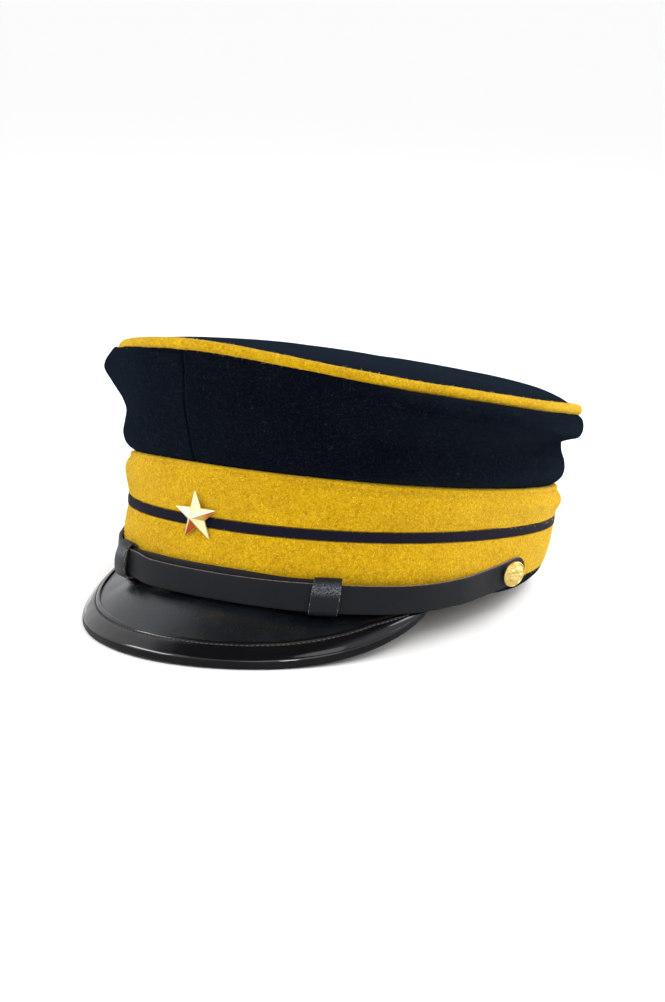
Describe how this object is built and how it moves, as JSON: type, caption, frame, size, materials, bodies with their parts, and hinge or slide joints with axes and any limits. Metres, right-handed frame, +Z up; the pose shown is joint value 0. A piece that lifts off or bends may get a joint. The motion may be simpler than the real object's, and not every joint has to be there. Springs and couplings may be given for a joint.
{
  "type": "peaked uniform cap",
  "caption": "Peaked uniform cap: a yellow felt band with a navy stripe, a soft navy crown piped in yellow, a black leather peak, a buttoned chin strap and a star badge.",
  "frame": {"origin": "middle of the cap's box, on the surface that the cap lies on", "axes": "+Z up, -Y the way the peak points, +X the wearer's left"},
  "size_m": [0.2116, 0.2688, 0.13],
  "materials": {
    "yellow_felt": "brushed golden yellow felt",
    "navy_wool": "matte navy wool cloth",
    "navy_braid": "flat navy ribbed braid",
    "strap_leather": "smooth satin black leather",
    "keeper_leather": "glossy black grained leather",
    "visor_leather": "satin black leather",
    "patent_leather": "high gloss black patent leather",
    "brass": "polished, pressed",
    "gilt_badge": "gilt, satin facets"
  },
  "bodies": {
    "root": {"band": "yellow_felt", "band_hem": "navy_wool", "band_stripe": "navy_braid", "crown_side_left": "navy_wool", "crown_side_right": "navy_wool", "crown_piping": "yellow_felt", "crown_top": "navy_wool", "visor_panel": "visor_leather", "visor_rim": "patent_leather", "chin_strap_left": "strap_leather", "chin_strap_right": "strap_leather", "strap_keeper_left": "keeper_leather", "strap_keeper_right": "keeper_leather", "button_left": "brass", "button_right": "brass", "star_badge": "gilt_badge"}
  },
  "joints": []
}
